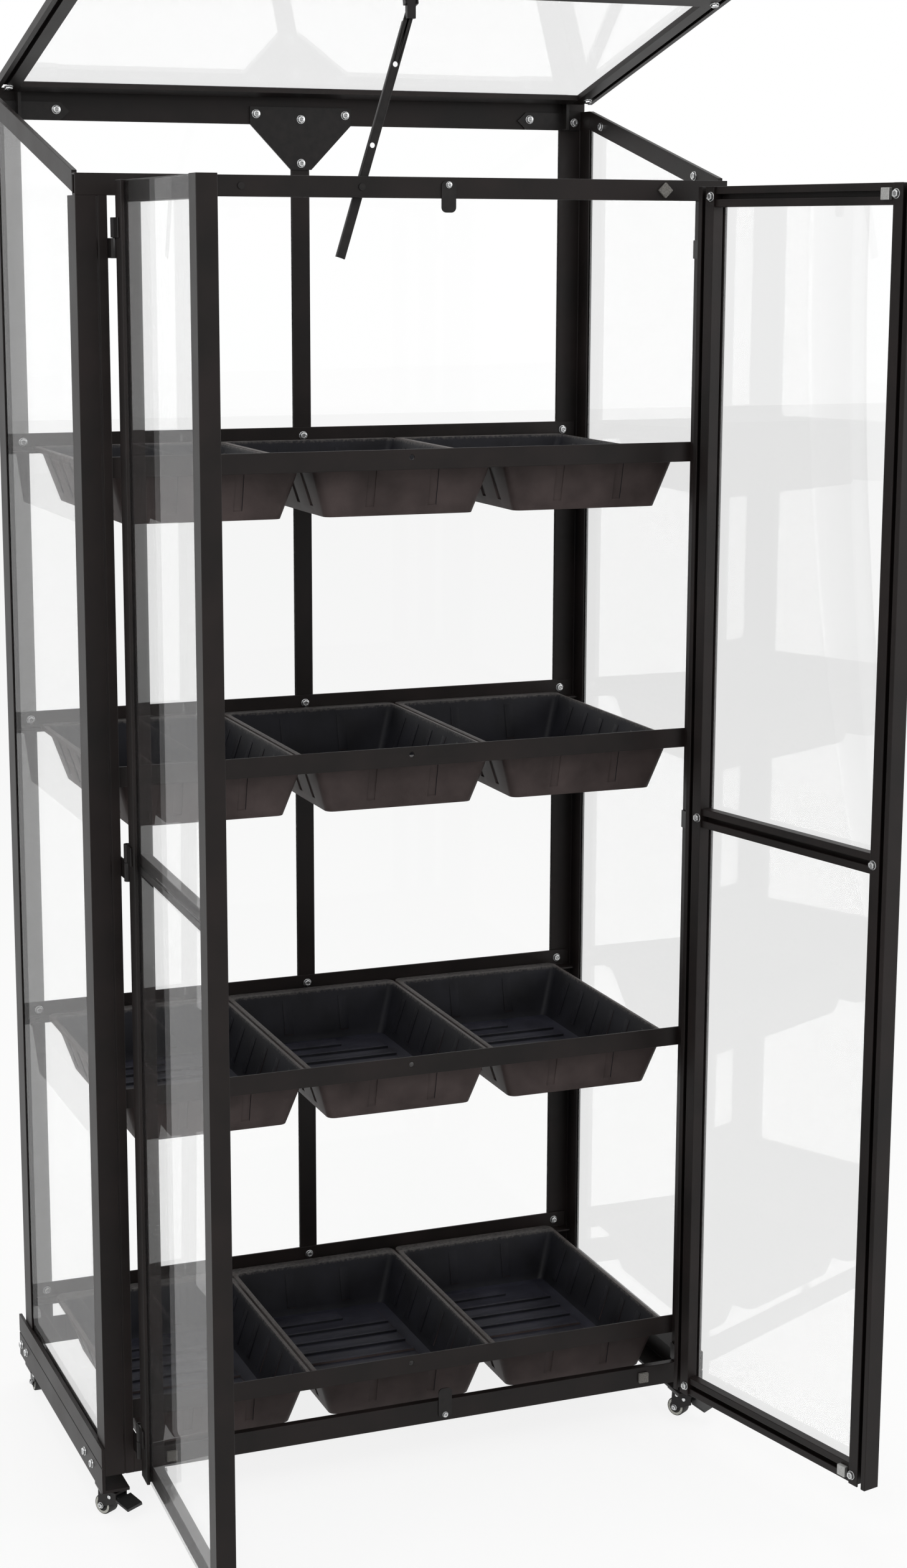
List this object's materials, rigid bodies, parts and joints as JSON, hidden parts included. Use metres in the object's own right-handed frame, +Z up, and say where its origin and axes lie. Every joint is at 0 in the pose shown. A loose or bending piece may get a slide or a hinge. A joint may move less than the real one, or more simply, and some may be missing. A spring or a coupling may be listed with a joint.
{
  "type": "mini greenhouse",
  "caption": "Lean-to glazed cabinet on casters, with a pair of doors, a roof lid propped on a stay and tiers of lift-out seed trays in a dark metal frame.",
  "frame": {"origin": "on the floor, under the middle of the bounding box of the whole as it stands with its doors and lid open", "axes": "+X to the right seen from the front, +Y from the doors to the back, +Z up"},
  "size_m": [0.8536, 0.8376, 1.817],
  "materials": {
    "black_aluminium": "satin black powder coat",
    "black_steel": "satin black",
    "zinc_steel": "bright zinc",
    "magnet": "dull nickel",
    "foam": "matt grey",
    "clear_sheet": "clear gloss",
    "tray_plastic": "black moulded",
    "wheel_rubber": "matt with a light grey side ring",
    "pedal_plastic": "black"
  },
  "bodies": {
    "frame": {"front_left_post": "black_aluminium", "front_right_post": "black_aluminium", "rear_left_post": "black_aluminium", "rear_right_post": "black_aluminium", "rear_stud": "black_aluminium", "front_top_rail": "black_aluminium", "rear_top_rail": "black_aluminium", "rafters": "black_aluminium", "base_rails": "black_aluminium", "side_panes": "clear_sheet", "back_panes": "clear_sheet", "rear_plates": "black_steel", "frame_bolts": "zinc_steel", "strike_plates": "black_steel", "bumper_pads": "foam", "stay_pegs": "black_steel", "post_hinges": "black_steel", "shelf_1_rails": "black_aluminium", "shelf_2_rails": "black_aluminium", "shelf_3_rails": "black_aluminium", "shelf_4_rails": "black_aluminium", "caster_plates": "black_steel"},
    "left_door": {"left_door_frame": "black_aluminium", "left_door_panes": "clear_sheet", "left_door_hinges": "black_steel", "left_door_bolts": "zinc_steel"},
    "right_door": {"right_door_frame": "black_aluminium", "right_door_panes": "clear_sheet", "right_door_hinges": "black_steel", "right_door_bolts": "zinc_steel", "right_door_magnets": "magnet"},
    "lid": {"lid_frame": "black_aluminium", "lid_hinge_rail": "black_aluminium", "lid_pane": "clear_sheet", "lid_bolts": "zinc_steel", "stay_bracket": "black_steel"},
    "stay_swivel": {"stay_swivel": "black_steel"},
    "stay_bar": {"stay_bar": "black_steel"},
    "fork_front_left": {"fork_front_left": "black_steel"},
    "wheel_front_left": {"wheel_front_left": "wheel_rubber"},
    "pedal_front_left": {"pedal_front_left": "pedal_plastic"},
    "fork_front_right": {"fork_front_right": "black_steel"},
    "wheel_front_right": {"wheel_front_right": "wheel_rubber"},
    "pedal_front_right": {"pedal_front_right": "pedal_plastic"},
    "fork_rear_left": {"fork_rear_left": "black_steel"},
    "wheel_rear_left": {"wheel_rear_left": "wheel_rubber"},
    "fork_rear_right": {"fork_rear_right": "black_steel"},
    "wheel_rear_right": {"wheel_rear_right": "wheel_rubber"},
    "tray_1_a": {"tray_1_a": "tray_plastic"},
    "tray_1_b": {"tray_1_b": "tray_plastic"},
    "tray_1_c": {"tray_1_c": "tray_plastic"},
    "tray_2_a": {"tray_2_a": "tray_plastic"},
    "tray_2_b": {"tray_2_b": "tray_plastic"},
    "tray_2_c": {"tray_2_c": "tray_plastic"},
    "tray_3_a": {"tray_3_a": "tray_plastic"},
    "tray_3_b": {"tray_3_b": "tray_plastic"},
    "tray_3_c": {"tray_3_c": "tray_plastic"},
    "tray_4_a": {"tray_4_a": "tray_plastic"},
    "tray_4_b": {"tray_4_b": "tray_plastic"},
    "tray_4_c": {"tray_4_c": "tray_plastic"}
  },
  "joints": [
    {"name": "left_door_hinge", "type": "hinge", "parent": "frame", "child": "left_door", "pos_m": [-0.38183, -0.05623, 0.829], "axis": [0, 0, -1], "range_deg": [-92, 83]},
    {"name": "right_door_hinge", "type": "hinge", "parent": "frame", "child": "right_door", "pos_m": [0.34417, -0.05623, 0.829], "axis": [0, 0, 1], "range_deg": [-103.2, 71.8]},
    {"name": "lid_hinge", "type": "hinge", "parent": "frame", "child": "lid", "pos_m": [-0.01883, 0.37777, 1.70891], "axis": [-1, 0, 0], "range_deg": [-28.74, 0]},
    {"name": "stay_tilt", "type": "hinge", "parent": "lid", "child": "stay_swivel", "pos_m": [-0.01883, -0.01177, 1.79249], "axis": [1, 0, 0], "range_deg": [0, 40]},
    {"name": "stay_swing", "type": "hinge", "parent": "stay_swivel", "child": "stay_bar", "pos_m": [-0.01883, -0.00677, 1.77649], "axis": [0, 1, 0], "range_deg": [-40, 70]},
    {"name": "swivel_front_left", "type": "hinge", "parent": "frame", "child": "fork_front_left", "pos_m": [-0.40683, -0.00823, 0.0332], "axis": [0, 0, 1], "continuous": true},
    {"name": "roll_front_left", "type": "hinge", "parent": "fork_front_left", "child": "wheel_front_left", "pos_m": [-0.41107, -0.00144, 0.0125], "axis": [0.848, 0.5299, 0], "continuous": true},
    {"name": "brake_front_left", "type": "hinge", "parent": "fork_front_left", "child": "pedal_front_left", "pos_m": [-0.39994, -0.01925, 0.0257], "axis": [0.848, 0.5299, 0], "range_deg": [0, 18]},
    {"name": "swivel_front_right", "type": "hinge", "parent": "frame", "child": "fork_front_right", "pos_m": [0.36917, -0.00823, 0.0332], "axis": [0, 0, 1], "continuous": true},
    {"name": "roll_front_right", "type": "hinge", "parent": "fork_front_right", "child": "wheel_front_right", "pos_m": [0.36493, -0.00144, 0.0125], "axis": [0.848, 0.5299, 0], "continuous": true},
    {"name": "brake_front_right", "type": "hinge", "parent": "fork_front_right", "child": "pedal_front_right", "pos_m": [0.37606, -0.01925, 0.0257], "axis": [0.848, 0.5299, 0], "range_deg": [0, 18]},
    {"name": "swivel_rear_left", "type": "hinge", "parent": "frame", "child": "fork_rear_left", "pos_m": [-0.40683, 0.37277, 0.0332], "axis": [0, 0, 1], "continuous": true},
    {"name": "roll_rear_left", "type": "hinge", "parent": "fork_rear_left", "child": "wheel_rear_left", "pos_m": [-0.40683, 0.38077, 0.0125], "axis": [1, 0, 0], "continuous": true},
    {"name": "swivel_rear_right", "type": "hinge", "parent": "frame", "child": "fork_rear_right", "pos_m": [0.36917, 0.37277, 0.0332], "axis": [0, 0, 1], "continuous": true},
    {"name": "roll_rear_right", "type": "hinge", "parent": "fork_rear_right", "child": "wheel_rear_right", "pos_m": [0.36917, 0.38077, 0.0125], "axis": [1, 0, 0], "continuous": true},
    {"name": "lift_tray_1_a", "type": "slide", "parent": "frame", "child": "tray_1_a", "axis": [0, 0, 1], "range_m": [0, 0.05]},
    {"name": "lift_tray_1_b", "type": "slide", "parent": "frame", "child": "tray_1_b", "axis": [0, 0, 1], "range_m": [0, 0.05]},
    {"name": "lift_tray_1_c", "type": "slide", "parent": "frame", "child": "tray_1_c", "axis": [0, 0, 1], "range_m": [0, 0.05]},
    {"name": "lift_tray_2_a", "type": "slide", "parent": "frame", "child": "tray_2_a", "axis": [0, 0, 1], "range_m": [0, 0.05]},
    {"name": "lift_tray_2_b", "type": "slide", "parent": "frame", "child": "tray_2_b", "axis": [0, 0, 1], "range_m": [0, 0.05]},
    {"name": "lift_tray_2_c", "type": "slide", "parent": "frame", "child": "tray_2_c", "axis": [0, 0, 1], "range_m": [0, 0.05]},
    {"name": "lift_tray_3_a", "type": "slide", "parent": "frame", "child": "tray_3_a", "axis": [0, 0, 1], "range_m": [0, 0.05]},
    {"name": "lift_tray_3_b", "type": "slide", "parent": "frame", "child": "tray_3_b", "axis": [0, 0, 1], "range_m": [0, 0.05]},
    {"name": "lift_tray_3_c", "type": "slide", "parent": "frame", "child": "tray_3_c", "axis": [0, 0, 1], "range_m": [0, 0.05]},
    {"name": "lift_tray_4_a", "type": "slide", "parent": "frame", "child": "tray_4_a", "axis": [0, 0, 1], "range_m": [0, 0.05]},
    {"name": "lift_tray_4_b", "type": "slide", "parent": "frame", "child": "tray_4_b", "axis": [0, 0, 1], "range_m": [0, 0.05]},
    {"name": "lift_tray_4_c", "type": "slide", "parent": "frame", "child": "tray_4_c", "axis": [0, 0, 1], "range_m": [0, 0.05]}
  ]
}
